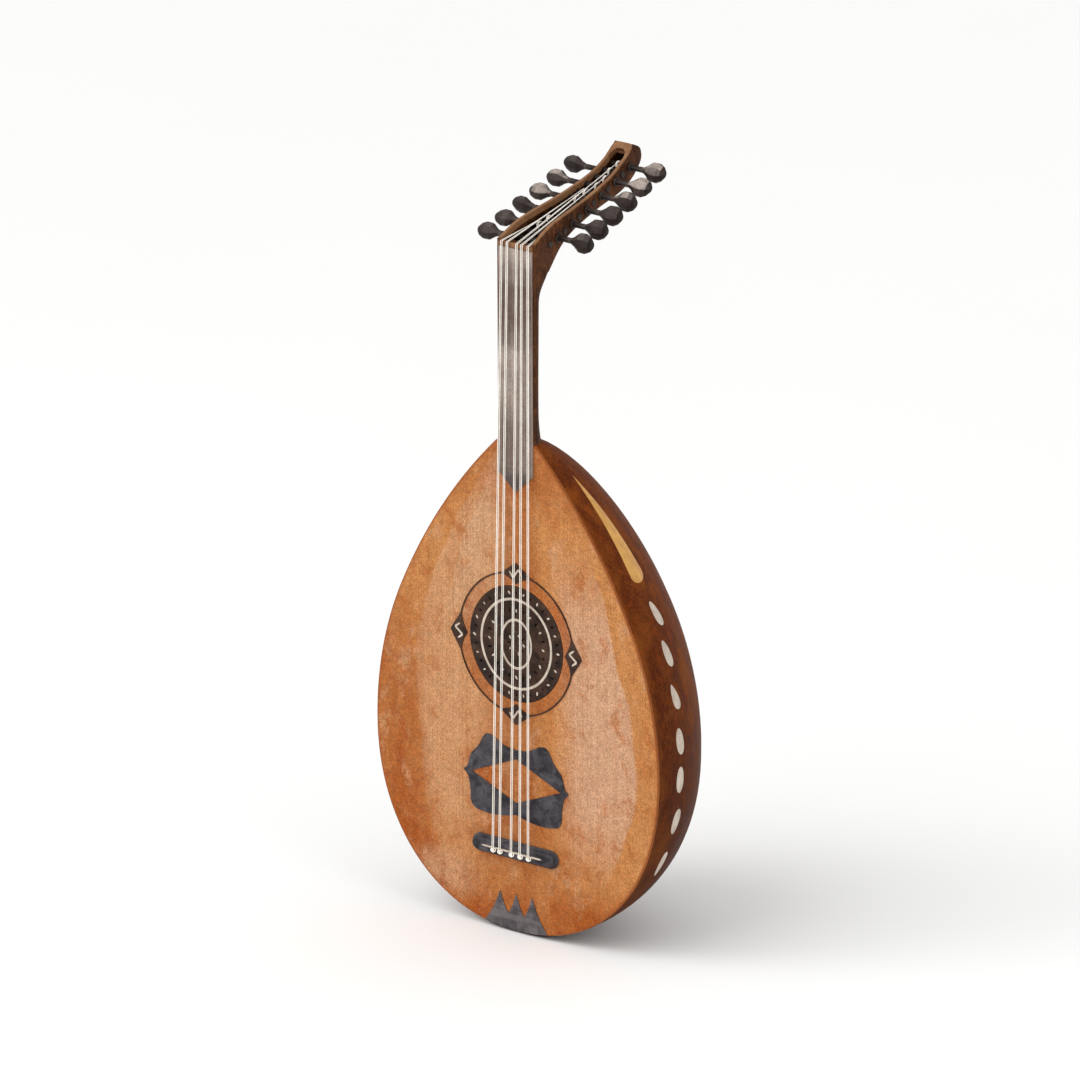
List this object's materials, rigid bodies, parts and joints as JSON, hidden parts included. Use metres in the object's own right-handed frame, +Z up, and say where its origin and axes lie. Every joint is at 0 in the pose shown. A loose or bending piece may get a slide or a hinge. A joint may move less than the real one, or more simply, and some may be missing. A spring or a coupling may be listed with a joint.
{
  "type": "oud",
  "caption": "Short-necked lute with a deep ribbed bowl, a flat soundboard with a pierced rosette, a pegbox bent back from the neck, turning wooden pegs and paired strings.",
  "frame": {"origin": "lowest point of the tail, where the bowl sits in a stand; it lies on the body's long axis, 2 mm behind the soundboard's face", "axes": "+Z up along the neck, -Y the way the soundboard faces, +X to the right of someone looking at the soundboard"},
  "size_m": [0.354, 0.192, 0.7642],
  "materials": {
    "soundboard": "satin oiled spruce, warm orange",
    "rib_wood": "polished dark walnut",
    "neck_wood": "satin dark walnut",
    "rim_wood": "satin tan maple",
    "dark_inlay": "matt brown-black veneer",
    "slate_inlay": "satin blue-black veneer",
    "fingerboard": "worn grey-brown ebony",
    "peg_wood": "satin stained hardwood",
    "bone": "polished bone",
    "string": "nylon",
    "inner_spruce": "raw spruce"
  },
  "bodies": {
    "instrument": {"soundboard": "soundboard", "rosette": "dark_inlay", "rosette_ring": "dark_inlay", "pickguard": "slate_inlay", "tail_spikes": "slate_inlay", "bridge": "slate_inlay", "bridge_saddle": "bone", "fingerboard": "fingerboard", "nut": "rim_wood", "neck": "neck_wood", "pegbox_cheek_left": "neck_wood", "pegbox_cheek_right": "neck_wood", "pegbox_floor": "neck_wood", "pegbox_tip": "neck_wood", "rim_left": "rim_wood", "rim_right": "rim_wood", "neck_block": "inner_spruce", "tail_block": "inner_spruce", "tail_cap": "rib_wood", "brace_1": "inner_spruce", "brace_2": "inner_spruce", "brace_3": "inner_spruce", "brace_4": "inner_spruce", "brace_5": "inner_spruce", "brace_6": "inner_spruce", "rib_01": "rib_wood", "rib_02": "rib_wood", "rib_03": "rib_wood", "rib_04": "rib_wood", "rib_05": "rib_wood", "rib_06": "rib_wood", "rib_07": "rib_wood", "rib_08": "rib_wood", "rib_09": "rib_wood", "rib_10": "rib_wood", "rib_11": "rib_wood", "rib_12": "rib_wood", "rib_13": "rib_wood", "string_01": "string", "string_02": "string", "string_03": "string", "string_04": "string", "string_05": "string", "string_06": "string", "string_07": "string", "string_08": "string", "string_09": "string", "string_10": "string"},
    "peg_01": {"peg_01": "peg_wood"},
    "peg_02": {"peg_02": "peg_wood"},
    "peg_03": {"peg_03": "peg_wood"},
    "peg_04": {"peg_04": "peg_wood"},
    "peg_05": {"peg_05": "peg_wood"},
    "peg_06": {"peg_06": "peg_wood"},
    "peg_07": {"peg_07": "peg_wood"},
    "peg_08": {"peg_08": "peg_wood"},
    "peg_09": {"peg_09": "peg_wood"},
    "peg_10": {"peg_10": "peg_wood"},
    "peg_11": {"peg_11": "peg_wood"},
    "peg_12": {"peg_12": "peg_wood"}
  },
  "joints": [
    {"name": "peg_01_turn", "type": "hinge", "parent": "instrument", "child": "peg_01", "pos_m": [0, 0.022, 0.6955], "axis": [-1, 0, 0], "continuous": true},
    {"name": "peg_02_turn", "type": "hinge", "parent": "instrument", "child": "peg_02", "pos_m": [0, 0.034, 0.69944], "axis": [1, 0, 0], "continuous": true},
    {"name": "peg_03_turn", "type": "hinge", "parent": "instrument", "child": "peg_03", "pos_m": [0, 0.046, 0.70345], "axis": [-1, 0, 0], "continuous": true},
    {"name": "peg_04_turn", "type": "hinge", "parent": "instrument", "child": "peg_04", "pos_m": [0, 0.058, 0.70752], "axis": [1, 0, 0], "continuous": true},
    {"name": "peg_05_turn", "type": "hinge", "parent": "instrument", "child": "peg_05", "pos_m": [0, 0.07, 0.71166], "axis": [-1, 0, 0], "continuous": true},
    {"name": "peg_06_turn", "type": "hinge", "parent": "instrument", "child": "peg_06", "pos_m": [0, 0.082, 0.71587], "axis": [1, 0, 0], "continuous": true},
    {"name": "peg_07_turn", "type": "hinge", "parent": "instrument", "child": "peg_07", "pos_m": [0, 0.094, 0.72015], "axis": [-1, 0, 0], "continuous": true},
    {"name": "peg_08_turn", "type": "hinge", "parent": "instrument", "child": "peg_08", "pos_m": [0, 0.106, 0.72448], "axis": [1, 0, 0], "continuous": true},
    {"name": "peg_09_turn", "type": "hinge", "parent": "instrument", "child": "peg_09", "pos_m": [0, 0.118, 0.72889], "axis": [-1, 0, 0], "continuous": true},
    {"name": "peg_10_turn", "type": "hinge", "parent": "instrument", "child": "peg_10", "pos_m": [0, 0.13, 0.73336], "axis": [1, 0, 0], "continuous": true},
    {"name": "peg_11_turn", "type": "hinge", "parent": "instrument", "child": "peg_11", "pos_m": [0, 0.142, 0.7379], "axis": [-1, 0, 0], "continuous": true},
    {"name": "peg_12_turn", "type": "hinge", "parent": "instrument", "child": "peg_12", "pos_m": [0, 0.154, 0.7425], "axis": [1, 0, 0], "continuous": true}
  ]
}
